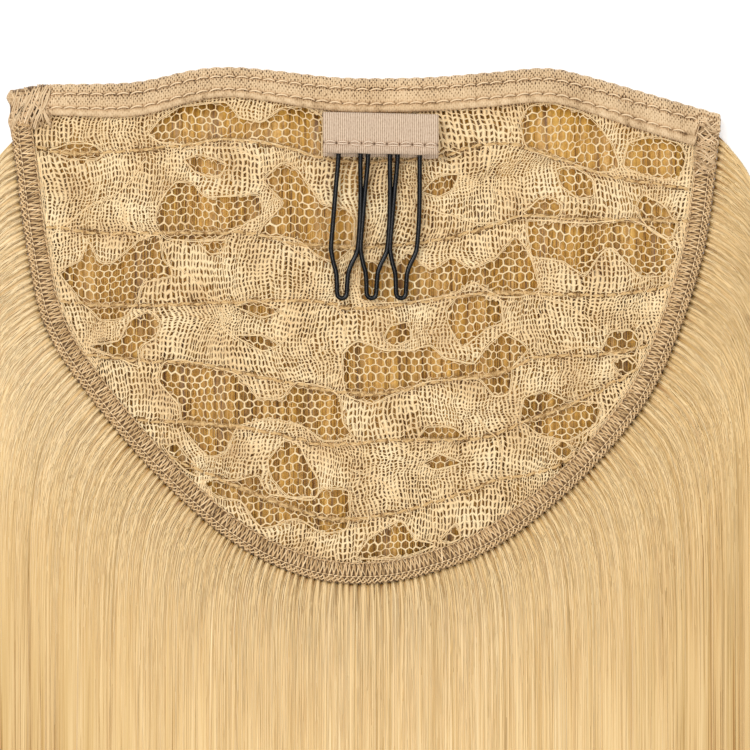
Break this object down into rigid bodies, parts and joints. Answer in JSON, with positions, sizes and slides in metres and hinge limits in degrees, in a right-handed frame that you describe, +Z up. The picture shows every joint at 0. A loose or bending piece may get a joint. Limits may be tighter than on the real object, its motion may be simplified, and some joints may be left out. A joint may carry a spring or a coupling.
{
  "type": "clip-in ponytail extension",
  "caption": "Straight blonde hairpiece on a half-moon lace base with a taped top edge, an overlocked rim and a wire comb in a ribbon tab, lying with its inside up.",
  "frame": {"origin": "middle of the bounding box's underside, on the surface that the hair lies on", "axes": "+Z up, away from that surface; the hair runs towards -Y and the base's top edge is at +Y; +X is to the right as seen from above"},
  "size_m": [0.1648, 0.4006, 0.0099],
  "materials": {
    "lace": "soft beige lace with net and denser figures",
    "tape": "matt ribbed beige tape with two rows of stitches",
    "edge_thread": "taupe overlock thread",
    "ribbon": "fine ribbed pinkish beige ribbon",
    "comb_wire": "glossy black coated wire",
    "weft_thread": "tan sewing thread over hair",
    "hair": "straight golden blonde hair with a soft shine"
  },
  "bodies": {
    "root": {"lace_base": "lace", "top_band": "tape", "serged_edge": "edge_thread", "comb_tab": "ribbon", "wire_comb": "comb_wire", "weft_track_1": "weft_thread", "weft_track_2": "weft_thread", "weft_track_3": "weft_thread", "weft_track_4": "weft_thread", "weft_track_5": "weft_thread", "weft_track_6": "weft_thread", "weft_hair": "hair", "edge_hair": "hair"}
  },
  "joints": []
}
